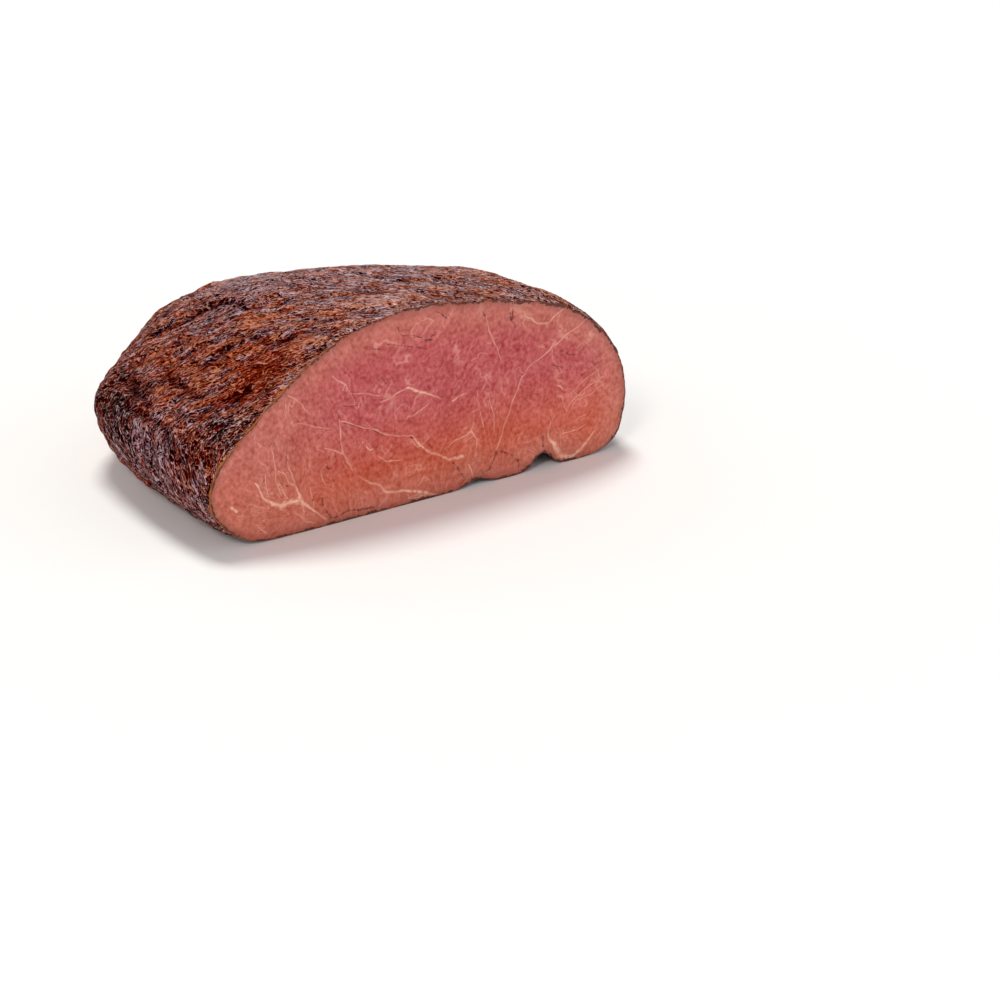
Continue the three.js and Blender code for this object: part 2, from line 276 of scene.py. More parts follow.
class StageSettings(bpy.types.PropertyGroup):
    """Sizes and colours of the stage"""
    floor_size: length("Floor size", "Side of the square floor", 30.0, 100)
    floor_colour: swatch("Floor", "Colour of the floor", "F4F3F1")
    camera_place: bpy.props.FloatVectorProperty(
        name="Camera", description="Where the camera stands", size=3, subtype="TRANSLATION", unit="LENGTH",
        default=(-1.3231, -1.7360, .7147))
    camera_pitch: bpy.props.FloatProperty(
        name="Camera pitch", description="How far the camera looks down", default=math.radians(18.87),
        subtype="ANGLE", unit="ROTATION")
    camera_yaw: bpy.props.FloatProperty(
        name="Camera yaw", description="How far the camera is turned to the right",
        default=math.radians(40.04), subtype="ANGLE", unit="ROTATION")
    camera_lens: bpy.props.FloatProperty(
        name="Lens", description="Focal length in millimetres on a 36 mm sensor", default=144.16, min=10)


def add(tree, kind, settings=None, inputs=None, stops=None):
    """Adds a node. Inputs take a value, a node's output, or a node for its first output; stops fill a
    colour ramp."""
    new = tree.nodes.new(kind)
    for name, value in (settings or {}).items():
        setattr(new, name, value)
    for name, value in (inputs or {}).items():
        if isinstance(value, bpy.types.Node):
            value = value.outputs[0]
        if isinstance(value, bpy.types.NodeSocket):
            tree.links.new(value, new.inputs[name])
        else:
            new.inputs[name].default_value = value
    if stops:
        ramp = new.color_ramp
        while len(ramp.elements) < len(stops):
            ramp.elements.new(1)
        for element, (place, colour) in zip(ramp.elements, stops):
            element.position = place
            element.color = colour
    return new


def new_material(name):
    """Makes an empty node material and gives its tree and its output node."""
    material = bpy.data.materials.new(name)
    material.use_nodes = True
    tree = material.node_tree
    tree.nodes.clear()
    return material, tree, add(tree, "ShaderNodeOutputMaterial")


def weighted_sum(tree, start, terms):
    """Adds readings times their weights to a start value."""
    for reading, weight in terms:
        start = add(tree, "ShaderNodeMath", {"operation": "MULTIPLY_ADD"}, {0: reading, 1: weight, 2: start})
    return start


def folded_lines(tree, place, sizes, seed, detail, reach):
    """Lines along which a noise passes its middle: 1 on a line, falling to 0 beside it."""
    scaled = add(tree, "ShaderNodeVectorMath", {"operation": "MULTIPLY_ADD"},
                 {0: place, 1: tuple(1 / size for size in sizes), 2: (seed, seed, seed)})
    field = add(tree, "ShaderNodeTexNoise", inputs={"Vector": scaled, "Scale": 1, "Detail": detail})
    folded = add(tree, "ShaderNodeMath", {"operation": "SUBTRACT"}, {0: field, 1: .5})
    folded = add(tree, "ShaderNodeMath", {"operation": "ABSOLUTE"}, {0: folded})
    return add(tree, "ShaderNodeMapRange", {"interpolation_type": "SMOOTHERSTEP"},
               {"Value": folded, "From Min": 0, "From Max": reach, "To Min": 1, "To Max": 0})


def ridged_noise(point):
    """Noise folded at its middle: 1 along thin crests, falling to 0 between them."""
    steepness = 2.4
    return 1 - min(1, abs(noise.noise(point)) * steepness)


def smooth_step(low, high, value):
    """Rises from 0 at low to 1 at high, with level ends."""
    share = np.clip((value - low) / (high - low), 0, 1)
    return share * share * (3 - 2 * share)


def read_all(items, name, kind, size):
    """Reads one value of every vertex or edge into an array with a row for each."""
    values = np.empty(len(items) * size, kind)
    items.foreach_get(name, values)
    return values.reshape(-1, size)


def store(mesh, name, values):
    """Keeps one number or vector a vertex on the mesh, for the materials to read."""
    kind, field = ("FLOAT", "value") if values.ndim == 1 else ("FLOAT_VECTOR", "vector")
    attribute = mesh.attributes.new(name, kind, "POINT")
    attribute.data.foreach_set(field, values.astype("f").ravel())


def distance_from(seeds, points, edges):
    """Distance of each vertex from the seed vertices along the mesh's edges."""
    least_gain = 1e-9
    reach = np.where(seeds, 0, np.inf)
    lengths = np.linalg.norm(points[edges[:, 0]] - points[edges[:, 1]], axis=1)
    starts = np.concatenate([edges[:, 0], edges[:, 1]])
    ends = np.concatenate([edges[:, 1], edges[:, 0]])
    steps = np.concatenate([lengths, lengths])
    while True:
        nearer = reach.copy()
        np.minimum.at(nearer, ends, reach[starts] + steps)
        if not np.any(nearer < reach - least_gain):
            return nearer
        reach = nearer


def wavering(across, up):
    """Bends the cut's measure a little, so a stroke drawn through a few points comes out wavy."""
    wide_pitch, wide_sway = 9, 1.3
    fine_pitch, fine_sway, fine_seed = 3.2, .5, 50
    bent = np.empty((len(across), 2))
    for i, (x, z) in enumerate(zip(across, up)):
        wide = noise.noise_vector(Vector((x, z, 0)) / wide_pitch)
        fine = noise.noise_vector(Vector((x, z, fine_seed)) / fine_pitch)
        bent[i] = x + wide_sway * wide.x + fine_sway * fine.x, z + wide_sway * wide.y + fine_sway * fine.y
    return bent[:, 0], bent[:, 1]


def nearest_stroke(across, up, strokes):
    """Four numbers for each place: its offset across and up from the nearest stroke in the stroke's own
    widths, its distance in millimetres, and the stroke's width there."""
    offset = np.zeros((len(across), 2))
    best = np.full(len(across), np.inf)
    reach = np.full(len(across), np.inf)
    wide = np.zeros(len(across))
    for stroke in strokes:
        for start, end in zip(stroke, stroke[1:]):
            run = np.array(end[:2], float) - start[:2]
            share = np.clip(((across - start[0]) * run[0] + (up - start[1]) * run[1]) / (run @ run), 0, 1)
            width = start[2] + (end[2] - start[2]) * share
            gap = np.stack([across - start[0] - run[0] * share, up - start[1] - run[1] * share], 1)
            far = np.linalg.norm(gap, axis=1)
            closer = far / width < best
            best = np.where(closer, far / width, best)
            reach = np.where(closer, far, reach)
            wide = np.where(closer, width, wide)
            offset[closer] = gap[closer] / width[closer, None]
    return np.column_stack([offset, reach, wide])


def muscle_grain(across, up):
    """Place in the muscle's own measure, for threads that spread from the seams low on the cut."""
    roots = np.array([(0, 12), (72, -60), (140, 2), (205, -40)], float)
    pull = np.array([1.0, 1.6, 1.3, 1.0])
    pull_reach, fan_radius = 26, 70
    gaps = np.stack([across[:, None] - roots[:, 0], up[:, None] - roots[:, 1]], 2)
    far = np.linalg.norm(gaps, axis=2)
    share = pull * np.exp(-np.abs(gaps[:, :, 0]) / pull_reach)
    share /= share.sum(1, keepdims=True)
    angle = np.arctan2(gaps[:, :, 0], gaps[:, :, 1])
    return np.column_stack([(angle * fan_radius * share).sum(1), (far * share).sum(1),
                            np.zeros(len(across))])


def on_joint(place):
    """Turns a place measured on the joint in millimetres to metres in the shared frame."""
    return np.array(place) * MM + (BASE_LINE_LEFT, CUT_PLANE, 0)


def patch_share(points, patches):
    """How strongly each point lies in the listed round patches, 0 to 1."""
    share = np.zeros(len(points))
    for centre, reach, strength in patches:
        gap = np.linalg.norm(points - on_joint(centre), axis=1) / (reach * MM)
        share = np.maximum(share, strength * np.exp(-gap * gap))
    return share


def fold_heights(joint, points):
    """Height in metres that the folds add at each point, and how deep in a fold it lies, 0 to 1."""
    step, sway, sway_pitch = 1.5 * MM, 2.5 * MM, 11 * MM
    # the meat swells beside a fold: where and how wide, in the fold's own reach, and how much
    swell_place, swell_width, swell_share = 1.9, .8, .35
    # a fold as deep as this, in millimetres, counts as fully creased
    full_crease = 1.5
    height = np.zeros(len(points))
    creased = np.zeros(len(points))
    for depth, reach, run in FOLDS:
        gap = np.full(len(points), np.inf)
        for start, end in zip(run, run[1:]):
            start, end = on_joint(start), on_joint(end)
            steps = math.ceil(np.linalg.norm(end - start) / step)
            for i in range(steps + 1):
                spot = Vector(start + (end - start) * i / steps)
                spot += sway * noise.noise_vector(spot / sway_pitch)
                spot = joint.closest_point_on_mesh(spot)[1]
                gap = np.minimum(gap, np.linalg.norm(points - np.array(spot), axis=1))
        gap /= reach * MM
        inside = np.exp(-gap ** 2)
        swell = np.exp(-((gap - swell_place) / swell_width) ** 2)
        height -= depth * MM * (inside - swell_share * swell)
        if depth > 0:
            creased = np.maximum(creased, inside * min(1, depth / full_crease))
    return height, creased


def crust_grain(points, stretch):
    """Place of each point in the crust's own measure: along its crinkles, across them, and outwards.

    The crinkles climb the low flank leaning back, then turn over the shoulder and lean forward.
    """
    axis_depth, radius, shoulder, turn = 40 * MM, 145 * MM, 86 * MM, 9 * MM
    first_lean, change = .2, 1.1
    around = radius * np.arctan2(points[:, 2] + axis_depth, -points[:, 0])
    lean = first_lean * around - change * turn * np.log(np.cosh((around - shoulder) / turn))
    outwards = np.hypot(points[:, 0], points[:, 2] + axis_depth)
    return np.column_stack([around / stretch, points[:, 1] - lean, outwards])


def crust_heights(places, settings):
    """Height in metres of the crust's lumps and wrinkles at each place in its own measure."""
    # crests lie a little under half of the noise's unit apart, so each unit is wider than the pitch
    pitch_in_units = .45
    lump, wrinkle, crease = (pitch / pitch_in_units for pitch in (
        settings.lump_pitch, settings.wrinkle_pitch, settings.crease_pitch))
    sway, sway_pitch = 2.2 * MM, 12 * MM
    crease_seed = Vector((0, 40, 0))
    height = np.empty(len(places))
    for i, place in enumerate(places):
        spot = Vector(place)
        spot += noise.noise_vector(spot / sway_pitch) * sway
        height[i] = (settings.lump_height * noise.noise(spot / lump)
                     + settings.wrinkle_height * (ridged_noise(spot / wrinkle) - .5)
                     + settings.crease_height * (ridged_noise(spot / crease + crease_seed) - .5))
    return height


def refined_copy():
    """Copies the CAD solid, merges its loose triangles to quads and refines them."""
    bpy.ops.object.select_all(action="DESELECT")
    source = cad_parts[NODE]
    source.select_set(True)
    bpy.context.view_layer.objects.active = source
    bpy.ops.object.duplicate()
    joint = bpy.context.active_object
    joint.name = "smoked_joint"
    joint.data.name = "smoked_joint"
    joint.data.materials.clear()
    bpy.ops.object.mode_set(mode="EDIT")
    bpy.ops.mesh.select_all(action="SELECT")
    bpy.ops.mesh.remove_doubles(threshold=.01 * MM)
    bpy.ops.mesh.customdata_custom_splitnormals_clear()
    bpy.ops.mesh.tris_convert_to_quads(face_threshold=math.pi, shape_threshold=math.pi)
    select_cut(joint)
    bpy.ops.mesh.region_to_loop()
    bpy.ops.transform.edge_crease(value=1)
    bpy.ops.mesh.mark_sharp()
    bpy.ops.object.mode_set(mode="OBJECT")
    levels = 2
    surface = joint.modifiers.new("Refine", "SUBSURF")
    surface.levels = levels
    surface.render_levels = levels
    bpy.ops.object.modifier_apply(modifier=surface.name)
    # the cut face carries the marbling, so it is refined once more
    bpy.ops.object.mode_set(mode="EDIT")
    select_cut(joint)
    bpy.ops.mesh.subdivide(number_cuts=1)
    bpy.ops.object.mode_set(mode="OBJECT")
    bpy.ops.object.shade_smooth()
    return joint


def is_cut(face, facing, allowance):
    """Tells whether a face looks out of the cut and lies within an allowance of its plane."""
    return face.normal.y < -facing and face.center.y < CUT_PLANE + allowance


def select_cut(joint):
    """Selects the faces of the flat cut, in edit mode."""
    bpy.ops.mesh.select_all(action="DESELECT")
    bpy.ops.mesh.select_mode(type="FACE")
    bpy.ops.object.mode_set(mode="OBJECT")
    for face in joint.data.polygons:
        face.select = is_cut(face, facing=.9, allowance=.3 * MM)
    bpy.ops.object.mode_set(mode="EDIT")


def raise_crust(joint, points, normals, crust, rim_gap, off_base, settings):
    """Lifts the lumps, wrinkles and folds of the crust, and gives what its material reads of them."""
    rim_fade, base_share, relief_range, level_from = 7 * MM, .15, 1.6 * MM, .75
    crinkled = crust_grain(points, settings.fibre_stretch)
    height = np.zeros(len(points))
    height[crust] = crust_heights(crinkled[crust], settings)
    folds, creased = fold_heights(joint, points)
    # quiet at the rim, and pressed nearly flat underneath
    quiet = smooth_step(0, rim_fade, np.where(crust, rim_gap, 0))
    lift = (height + folds) * quiet * (base_share + (1 - base_share) * off_base)
    points[crust] += (normals * lift[:, None])[crust]
    return {"crinkled": crinkled, "creased": creased * quiet,
            # this height reading paints raised lumps lighter and hollows darker in the crust's colour:
            # painted light and shade of the lumps
            "relief": np.clip(.5 + height / relief_range, 0, 1),
            # faces that look up are painted lighter, and with more contrast, from this: painted light from
            # above
            "upward": smooth_step(level_from, 1, normals[:, 2])}


def raise_marbling(points, inner, rim_gap):
    """Lifts the fat of the cut, sinks its splits, and gives what its material reads of them."""
    fat_rise, split_depth, softness, rim_fade = .12 * MM, .35 * MM, 1.3, 2 * MM
    across, up = wavering((points[:, 0] - BASE_LINE_LEFT) / MM, points[:, 2] / MM)
    fat, split, brown = (nearest_stroke(across, up, strokes)
                         for strokes in (FAT_STROKES, SPLIT_STROKES, BROWN_STROKES))
    sink = split_depth * np.exp(-(split[:, 2] / softness) ** 2)
    sink -= fat_rise * np.exp(-(fat[:, 2] / softness) ** 2)
    # the whole face lies back by the rise of its fat, so that the fat stays within the CAD box
    points[inner, 1] += (sink * smooth_step(0, rim_fade, rim_gap))[inner] + fat_rise
    return {"fat_offset": fat[:, :3], "fat_width": fat[:, 3], "split_offset": split[:, :3],
            "brown_offset": brown[:, :3], "grain": muscle_grain(across, up)}


def stray_rim(points, rim_gap, off_base, wander):
    """Makes the rim of the cut, and what lies close beside it, stray a little across and up."""
    fade = 6 * MM
    wide_pitch, wide_share = 9 * MM, 1.6
    fine_pitch, fine_share = 3.5 * MM, 1.2
    stray = wander * (1 - smooth_step(0, fade, rim_gap)) * off_base
    for i in np.flatnonzero(stray > 0):
        wide = noise.noise_vector(Vector(points[i]) / wide_pitch)
        fine = noise.noise_vector(Vector(points[i]) / fine_pitch)
        points[i, 0] += stray[i] * (wide_share * wide.x + fine_share * fine.x)
        points[i, 2] += stray[i] * (wide_share * wide.z + fine_share * fine.z)


class ROAST_OT_joint(bpy.types.Operator):
    """Make the smoked joint with its crust and its marbled cut face"""
    bl_idname = "roast.joint"
    bl_label = "Smoked Joint"

    def execute(self, context):
        # noise_vector takes its offsets from the clock unless it is given a seed
        noise.seed_set(NOISE_SEED)
        settings = context.scene.roast
        joint = refined_copy()
        mesh = joint.data
        points = read_all(mesh.vertices, "co", float, 3)
        normals = read_all(mesh.vertex_normals, "vector", float, 3)
        edges = read_all(mesh.edges, "vertices", int, 2)

        # the cut is flat to within this, and the base gives way to the flanks between these heights
        flatness, base_start, base_end = .05 * MM, .5 * MM, 7 * MM
        crust = points[:, 1] >= CUT_PLANE + flatness
        sharp = np.array([edge.use_edge_sharp for edge in mesh.edges])
        rim = np.zeros(len(points), bool)
        rim[edges[sharp].ravel()] = True
        rim_gap = distance_from(rim, points, edges)
        off_base = smooth_step(base_start, base_end, points[:, 2])

        readings = {"rim_gap": rim_gap}
        readings |= raise_crust(joint, points, normals, crust, rim_gap, off_base, settings)
        readings |= raise_marbling(points, ~crust & ~rim, rim_gap)
        stray_rim(points, rim_gap, off_base, settings.rim_wander)
        points[:, 2] = np.maximum(points[:, 2], 0)
        mesh.vertices.foreach_set("co", points.ravel())
        mesh.update()

        tones = [patch_share(points, patches) for patches in (CLEAR, SMOKED, DRY_AND_SHEEN)]
        readings |= {"tone": np.column_stack(tones), "netted": patch_share(points, NETTED)}
        for name, values in readings.items():
            store(mesh, name, values)

        mesh.materials.append(smoked_crust(settings))
        mesh.materials.append(marbled_meat(settings))
        for face in mesh.polygons:
            face.material_index = 1 if is_cut(face, facing=.6, allowance=.9 * MM) else 0
        mesh.calc_loop_triangles()
        if len(mesh.loop_triangles) >= TRIANGLE_LIMIT:
            raise RuntimeError("the joint has too many triangles: %d" % len(mesh.loop_triangles))
        print("joint: %d triangles" % len(mesh.loop_triangles))

        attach(joint, "root")
        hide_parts(NODE)
        return {"FINISHED"}


def smoked_crust(settings):
    """Beef bark: surface dried and browned in smoke, basted, so thin fat glazes its dark ridges.

    The eye reads near-black grooves between short glossy ridges, crinkled at every size down to a
    millimetre, with clear orange-brown glaze where the crust is thin and a mauve bloom where it has dried.
    The colour also carries painted light and shade: darker grooves, pits and folds, lighter ridge tops,
    lumps and upward faces, near-white painted glints, and a painted mauve-grey sheen low on the left and
    on the top.
    """
    material, tree, output = new_material("smoked beef crust")
    object_space = add(tree, "ShaderNodeTexCoord").outputs["Object"]
    rim_gap, relief, creased, netted, upward = (
        add(tree, "ShaderNodeAttribute", {"attribute_name": name}).outputs["Fac"]
        for name in ("rim_gap", "relief", "creased", "netted", "upward"))
    crinkled, tone = (
        add(tree, "ShaderNodeAttribute", {"attribute_name": name}).outputs["Vector"]
        for name in ("crinkled", "tone"))
    clear, smoked, dry = add(tree, "ShaderNodeSeparateXYZ", inputs={0: tone}).outputs

    # crinkles in the crust's own measure: thin crests and pits, bent so that none runs straight
    wander = add(tree, "ShaderNodeTexNoise",
                 inputs={"Vector": object_space, "Scale": 1 / (6 * MM), "Detail": 2})
    centred = add(tree, "ShaderNodeVectorMath", {"operation": "SUBTRACT"},
                  {0: wander.outputs["Color"], 1: (.5, .5, .5)})
    drawn = add(tree, "ShaderNodeVectorMath", {"operation": "MULTIPLY_ADD"},
                {0: centred, 1: (3 * MM, 2 * MM, 2 * MM), 2: crinkled})
    pitch = settings.hatch_pitch
    fine = folded_lines(tree, drawn, (2.2 * pitch,) * 3, seed=0, detail=1, reach=.028)
    small = folded_lines(tree, drawn, (3.8 * pitch,) * 3, seed=7, detail=1, reach=.028)
    pits = folded_lines(tree, drawn, (2.9 * pitch,) * 3, seed=21, detail=1, reach=.04)
    broad = folded_lines(tree, drawn, (7.2 * pitch,) * 3, seed=13, detail=.5, reach=.16)
    speckle = add(tree, "ShaderNodeTexNoise",
                  inputs={"Vector": drawn, "Scale": 1 / (1.2 * MM), "Detail": 2, "Roughness": .7})
    # the crinkles' shade is painted light and shade: lighter on the crests and on raised lumps, darker in
    # the pits, over a random speckle; it sets the level of the colour below
    height = weighted_sum(tree, 0, ((broad, 1), (small, .45), (fine, .25), (pits, -.25)))
    shade = weighted_sum(tree, -.45, ((broad, .1), (relief, .12), (small, .7), (fine, .7), (pits, -.7),
                                      (speckle, 1.5)))

    # where the net of fibres shows, it takes the place of most of the crinkle's shade
    cells = add(tree, "ShaderNodeTexVoronoi", {"feature": "DISTANCE_TO_EDGE"},
                {"Vector": drawn, "Scale": 1 / (5 * MM)})
    net = add(tree, "ShaderNodeMapRange", SMOOTH,
              {"Value": cells.outputs["Distance"], "From Max": .1, "To Min": .56, "To Max": .26})
    showing = add(tree, "ShaderNodeMath", TIMES, {0: netted, 1: .8})
    shade = add(tree, "ShaderNodeMix", inputs={0: showing, 2: shade, 3: net})
    # faces that look up get a narrower, more contrasty range here: painted light and shade from above,
    # standing in for the relief's own shading
    darkest = weighted_sum(tree, .26, ((upward, .05),))
    lightest = weighted_sum(tree, .72, ((upward, -.15),))
    level = add(tree, "ShaderNodeMapRange",
                inputs={"Value": shade, "From Min": darkest, "From Max": lightest})
    # folds are painted darker here (painted shade in the folds), the nearly black patches darker, and faces
    # that look up lighter (painted light from above)
    level = weighted_sum(tree, level, ((creased, -.5), (smoked, -.55), (upward, .08)))

    # colour by height, from dry mauve crust to clear orange crust; the darkest end of each ramp is painted
    # shade in the grooves, and the lightest end is partly painted highlight on the ridge tops
    dull, glowing = (
        add(tree, "ShaderNodeValToRGB", inputs={0: level}, stops=list(zip((0, .25, .5, 1), colours)))
        for colours in ((settings.groove_shade, settings.smoke, settings.mauve, settings.bloom_and_highlight),
                        (settings.pit_shade, settings.ember, settings.glaze, settings.gilt_and_highlight)))
    clouds = add(tree, "ShaderNodeTexNoise", inputs={"Vector": drawn, "Scale": 1 / (6 * MM), "Detail": 2.5})
    glow = add(tree, "ShaderNodeMapRange", SMOOTH,
               {"Value": clouds, "From Min": .4, "From Max": .58, "To Min": .15, "To Max": 1})
    # the mauve-grey patches pull the colour to the dull ramp: partly dried crust, partly painted sheen
    glow = weighted_sum(tree, glow, ((clear, .8), (dry, -.85)))
    glow = add(tree, "ShaderNodeClamp", inputs={0: glow})
    colour = add(tree, "ShaderNodeMix", COLOUR_MIX, {0: glow, 6: dull, 7: glowing})

    # painted glints: a near-white colour on the highest ridges, near the cut and in the smoked patches,
    # painted as wet highlights
    painted_glint = add(tree, "ShaderNodeMapRange", SMOOTH, {"Value": shade, "From Min": .9, "From Max": 1})
    beside = add(tree, "ShaderNodeMapRange", SMOOTH,
                 {"Value": rim_gap, "From Min": 1 * MM, "From Max": 9 * MM, "To Min": .45, "To Max": 0})
    glinting = weighted_sum(tree, beside, ((smoked, .7),))
    glinting = add(tree, "ShaderNodeMath", TIMES | {"use_clamp": True}, {0: glinting, 1: painted_glint})
    colour = add(tree, "ShaderNodeMix", COLOUR_MIX, {0: glinting, 6: colour.outputs[2], 7: settings.painted_glint})

    # at the thin end, on the left, a line of tan fat shows between the crust and the cut
    across = add(tree, "ShaderNodeSeparateXYZ", inputs={0: object_space}).outputs["X"]
    thin_end = add(tree, "ShaderNodeMapRange", SMOOTH,
                   {"Value": across, "From Min": -60 * MM, "From Max": -85 * MM, "To Max": .85})
    uneven = weighted_sum(tree, rim_gap, ((wander, -3 * MM),))
    beside_cut = add(tree, "ShaderNodeMapRange", SMOOTH,
                     {"Value": uneven, "From Min": .4 * MM, "From Max": -.4 * MM})
    rind = add(tree, "ShaderNodeMath", TIMES, {0: thin_end, 1: beside_cut})
    colour = add(tree, "ShaderNodeMix", COLOUR_MIX, {0: rind, 6: colour.outputs[2], 7: settings.rind})

    # the fat glaze is a thin coat that only wets the ridges, so the grooves between them stay dull and dark
    bump = add(tree, "ShaderNodeBump",
               inputs={"Strength": 1, "Distance": settings.hatch_depth, "Height": height})
    wet = add(tree, "ShaderNodeMapRange", SMOOTH,
              {"Value": level, "From Min": .6, "From Max": .95, "To Max": .8})
    skin = add(tree, "ShaderNodeBsdfPrincipled",
               inputs={"Base Color": colour.outputs[2], "Roughness": .6, "IOR": 1.4,
                       "Specular IOR Level": 0, "Normal": bump, "Coat Weight": wet,
                       "Coat Roughness": .15, "Coat IOR": 1.5, "Coat Normal": bump})
    tree.links.new(skin.outputs[0], output.inputs[0])
    return material


def marbled_meat(settings):
    """Cooked beef, cut across the grain: moist, slightly see-through, pink in the middle.

    The eye reads soft pink that turns warmer low down and paler at the edge, fine threads and flecks of
    cream fat, a wet sheen broken by the grain, and a thin browned line under the crust.
    """
    material, tree, output = new_material("moist roast beef, cut")
    object_space = add(tree, "ShaderNodeTexCoord").outputs["Object"]
    place = add(tree, "ShaderNodeSeparateXYZ", inputs={0: object_space})
    rim_gap, fat_width = (
        add(tree, "ShaderNodeAttribute", {"attribute_name": name}).outputs["Fac"]
        for name in ("rim_gap", "fat_width"))
    fat_offset, split_offset, brown_offset, grain = (
        add(tree, "ShaderNodeAttribute", {"attribute_name": name}).outputs["Vector"]
        for name in ("fat_offset", "split_offset", "brown_offset", "grain"))

    # warmer low down, paler towards the crust and the thin end
    clouds = add(tree, "ShaderNodeTexNoise",
                 inputs={"Vector": object_space, "Scale": 1 / (28 * MM), "Detail": 3})
    low = add(tree, "ShaderNodeMapRange", SMOOTH,
              {"Value": place.outputs["Z"], "From Min": 66 * MM, "From Max": 10 * MM})
    low = weighted_sum(tree, -.2, ((low, 1), (clouds, .4)))
    low = add(tree, "ShaderNodeClamp", inputs={0: low})
    colour = add(tree, "ShaderNodeMix", COLOUR_MIX, {0: low, 6: settings.pink, 7: settings.rosy})
    edge = add(tree, "ShaderNodeMapRange", SMOOTH,
               {"Value": rim_gap, "From Min": 28 * MM, "From Max": 2 * MM, "To Max": .7})
    thin_end = add(tree, "ShaderNodeMapRange", SMOOTH,
                   {"Value": place.outputs["X"], "From Min": -50 * MM, "From Max": -120 * MM, "To Max": .6})
    edge = add(tree, "ShaderNodeMath", HIGHER, {0: edge, 1: thin_end})
    colour = add(tree, "ShaderNodeMix", COLOUR_MIX, {0: edge, 6: colour.outputs[2], 7: settings.pale})

    # grain, in millimetres: bundles of fibre 3 mm wide and 4 mm long that spread from seams low on the cut
    bend = add(tree, "ShaderNodeTexNoise",
               inputs={"Vector": object_space, "Scale": 1 / (13 * MM), "Detail": 2})
    bent = add(tree, "ShaderNodeVectorMath", {"operation": "MULTIPLY_ADD"},
               {0: bend.outputs["Color"], 1: (9, 9, 9), 2: grain})
    bundles = add(tree, "ShaderNodeVectorMath", TIMES, {0: bent, 1: (1 / 3, 1 / 4, 1 / 4)})
    fibre = add(tree, "ShaderNodeTexNoise", inputs={"Vector": bundles, "Scale": 1, "Detail": 2})
    flecks = add(tree, "ShaderNodeTexNoise",
                 inputs={"Vector": object_space, "Scale": 1 / (2.4 * MM), "Detail": 2})
    mottle = weighted_sum(tree, -.75, ((fibre, .5), (flecks, .7), (bend, .3)))
    mottle = add(tree, "ShaderNodeVectorMath", {"operation": "SCALE"},
                 {0: (.62, .3, .28), "Scale": mottle})
    colour = add(tree, "ShaderNodeVectorMath", {"operation": "ADD"}, {0: colour.outputs[2], 1: mottle})
    thread = folded_lines(tree, bent, (4.5, 22, 9), seed=3, detail=1, reach=.03)
    showing = add(tree, "ShaderNodeMapRange", SMOOTH,
                  {"Value": bend, "From Min": .42, "From Max": .62, "To Max": .3})
    thread = add(tree, "ShaderNodeMath", TIMES, {0: thread, 1: showing})

    # fat, splits and browned seams: the offset from the nearest stroke in its own widths, made ragged by
    # noise, and cut off at a distance in millimetres
    ragged_share, full_until, fade = 2.6, 1.2, .4
    masks = []
    for offset, softness, limit in ((fat_offset, 1.2, 2.6), (split_offset, .9, 1.6), (brown_offset, .8, 3)):
        beside = add(tree, "ShaderNodeSeparateXYZ", inputs={0: offset})
        widths = add(tree, "ShaderNodeCombineXYZ", inputs={0: beside.outputs[0], 1: beside.outputs[1]})
        widths = add(tree, "ShaderNodeVectorMath", {"operation": "LENGTH"}, {0: widths}).outputs["Value"]
        ragged = weighted_sum(tree, widths, ((flecks, ragged_share),))
        mask = add(tree, "ShaderNodeMapRange", SMOOTH,
                   {"Value": ragged, "From Min": full_until, "From Max": full_until + softness,
                    "To Min": 1, "To Max": 0})
        near = add(tree, "ShaderNodeMapRange",
                   inputs={"Value": beside.outputs[2], "From Min": limit, "From Max": limit + fade,
                           "To Min": 1, "To Max": 0})
        masks.append(add(tree, "ShaderNodeMath", TIMES, {0: mask, 1: near}))
    fat, split, brown = masks
    richness = add(tree, "ShaderNodeMapRange",
                   inputs={"Value": fat_width, "From Min": .3, "From Max": 1.3, "To Min": .45})
    broken = add(tree, "ShaderNodeMapRange",
                 inputs={"Value": bend, "From Min": .35, "From Max": .55, "To Min": .55})
    fat = add(tree, "ShaderNodeMath", TIMES, {0: fat, 1: richness})
    fat = add(tree, "ShaderNodeMath", TIMES, {0: fat, 1: broken})
    fat = add(tree, "ShaderNodeMath", HIGHER, {0: fat, 1: thread})
    colour = add(tree, "ShaderNodeMix", COLOUR_MIX, {0: fat, 6: colour, 7: settings.fat})

    # the rim: a thin brown line of uneven width, and a tan shade that fades inwards
    uneven = weighted_sum(tree, rim_gap, ((bend, -4 * MM), (flecks, -5 * MM)))
    rim_line = add(tree, "ShaderNodeMapRange", SMOOTH,
                   {"Value": uneven, "From Min": -2.8 * MM, "From Max": -4 * MM})
    rim_shade = add(tree, "ShaderNodeMapRange", SMOOTH,
                    {"Value": uneven, "From Min": 2 * MM, "From Max": -4 * MM, "To Max": .35})
    brown = add(tree, "ShaderNodeMath", TIMES, {0: brown, 1: .8})
    brown = add(tree, "ShaderNodeMath", HIGHER, {0: brown, 1: rim_line})
    brown = add(tree, "ShaderNodeMath", HIGHER, {0: brown, 1: rim_shade})
    colour = add(tree, "ShaderNodeMix", COLOUR_MIX, {0: brown, 6: colour.outputs[2], 7: settings.brown})
    # the splits and pores are painted dark: painted shade inside them
    split = add(tree, "ShaderNodeMath", TIMES, {0: split, 1: .9})
    colour = add(tree, "ShaderNodeMix", COLOUR_MIX, {0: split, 6: colour.outputs[2], 7: settings.split})

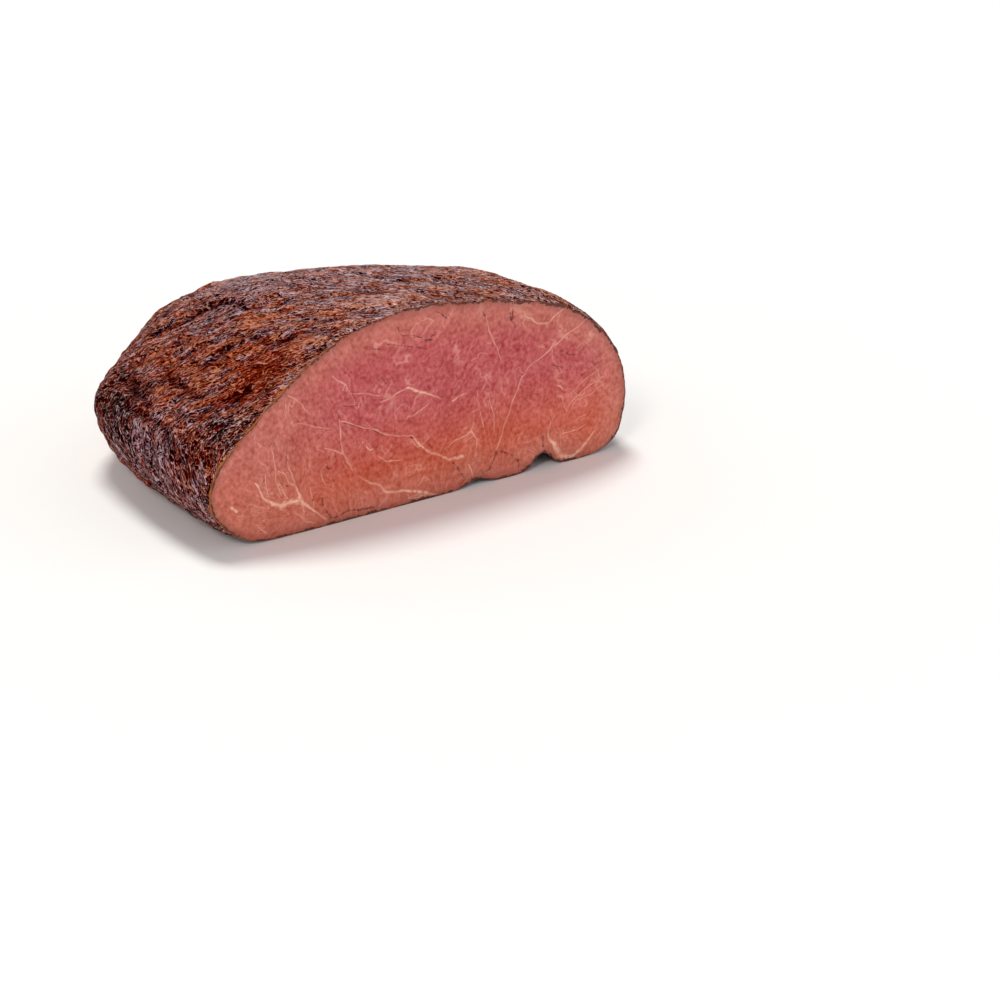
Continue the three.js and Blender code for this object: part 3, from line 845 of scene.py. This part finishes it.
    # juices wet the face: a low bump of grain and fat, and a sheen that varies with the flecks
    height = weighted_sum(tree, mottle, ((fat, .4),))
    bump = add(tree, "ShaderNodeBump", inputs={"Strength": .8, "Distance": .2 * MM, "Height": height})
    dullness = add(tree, "ShaderNodeMapRange", inputs={"Value": flecks, "To Min": .34, "To Max": .52})
    flesh = add(tree, "ShaderNodeBsdfPrincipled",
                inputs={"Base Color": colour.outputs[2], "Roughness": dullness, "IOR": 1.4,
                        "Normal": bump, "Subsurface Weight": .3,
                        "Subsurface Radius": (1.0, .35, .25), "Subsurface Scale": 1.2 * MM})
    tree.links.new(flesh.outputs[0], output.inputs[0])
    return material


def matt_floor(settings):
    """Matt white card, so the shadow under the joint reads softly."""
    material, tree, output = new_material("matt white card")
    card = add(tree, "ShaderNodeBsdfPrincipled",
               inputs={"Base Color": settings.floor_colour, "Roughness": .9, "IOR": 1.4})
    tree.links.new(card.outputs[0], output.inputs[0])
    return material


def far_softbox(name, azimuth, elevation, spread, strength, colour):
    """Adds a distant round light, given in degrees; azimuth turns from +Y towards +X."""
    bpy.ops.object.light_add(type="SUN", location=(0, 0, 2))
    lamp = bpy.context.active_object
    lamp.name = name
    lamp.data.angle = math.radians(spread)
    lamp.data.energy = strength
    lamp.data.color = linear(colour)[:3]
    lamp.rotation_euler = (math.radians(90 - elevation), 0, math.radians(180 - azimuth))


def white_backdrop():
    """A white sweep round the floor that fades to a dim ceiling, which the wet crust mirrors."""
    world = bpy.data.worlds.new("white backdrop")
    world.use_nodes = True
    tree = world.node_tree
    tree.nodes.clear()
    direction = add(tree, "ShaderNodeTexCoord").outputs["Generated"]
    height = add(tree, "ShaderNodeSeparateXYZ", inputs={0: direction}).outputs["Z"]
    fade = add(tree, "ShaderNodeMapRange", SMOOTH,
               {"Value": height, "From Min": .42, "From Max": .75, "To Min": 1.05, "To Max": .12})
    sky = add(tree, "ShaderNodeBackground", inputs={"Color": linear("F8F8FF"), "Strength": fade})
    add(tree, "ShaderNodeOutputWorld", inputs={0: sky})
    return world


class ROAST_OT_stage(bpy.types.Operator):
    """Make the floor, the lights and the camera"""
    bl_idname = "roast.stage"
    bl_label = "Studio Stage"

    def execute(self, context):
        settings = context.scene.roast_stage
        bpy.ops.object.select_all(action="DESELECT")
        bpy.ops.mesh.primitive_plane_add(size=settings.floor_size, location=(0, 0, 0))
        floor = context.active_object
        floor.name = "floor"
        floor.data.materials.append(matt_floor(settings))

        far_softbox("overhead softbox", azimuth=25, elevation=66, spread=22, strength=2.1, colour="FFFDF8")
        far_softbox("front softbox", azimuth=-125, elevation=35, spread=14, strength=.8, colour="FFF6EC")
        context.scene.world = white_backdrop()

        bpy.ops.object.camera_add(
            location=settings.camera_place,
            rotation=(math.pi / 2 - settings.camera_pitch, 0, -settings.camera_yaw))
        camera = context.active_object
        camera.data.lens = settings.camera_lens
        camera.data.sensor_width = 36
        camera.data.clip_end = 100
        context.scene.camera = camera
        context.scene.view_settings.view_transform = "Standard"
        return {"FINISHED"}


class ROAST_PT_panel(bpy.types.Panel):
    """Lists the operators and the settings"""
    bl_idname = "ROAST_PT_panel"
    bl_label = "Smoked Roast Beef"
    bl_space_type = "VIEW_3D"
    bl_region_type = "UI"
    bl_category = "Roast"

    def draw(self, context):
        for operator, settings in ((ROAST_OT_joint, context.scene.roast),
                                   (ROAST_OT_stage, context.scene.roast_stage)):
            box = self.layout.box()
            box.operator(operator.bl_idname)
            for name in settings.__annotations__:
                box.prop(settings, name)


CLASSES = (RoastSettings, StageSettings, ROAST_OT_joint, ROAST_OT_stage, ROAST_PT_panel)


def register():
    for item in CLASSES:
        bpy.utils.register_class(item)
    bpy.types.Scene.roast = bpy.props.PointerProperty(type=RoastSettings)
    bpy.types.Scene.roast_stage = bpy.props.PointerProperty(type=StageSettings)


def unregister():
    del bpy.types.Scene.roast_stage
    del bpy.types.Scene.roast
    for item in reversed(CLASSES):
        bpy.utils.unregister_class(item)


def main():
    register()
    bpy.ops.roast.stage()
    bpy.ops.roast.joint()


if __name__ == "__main__":
    main()
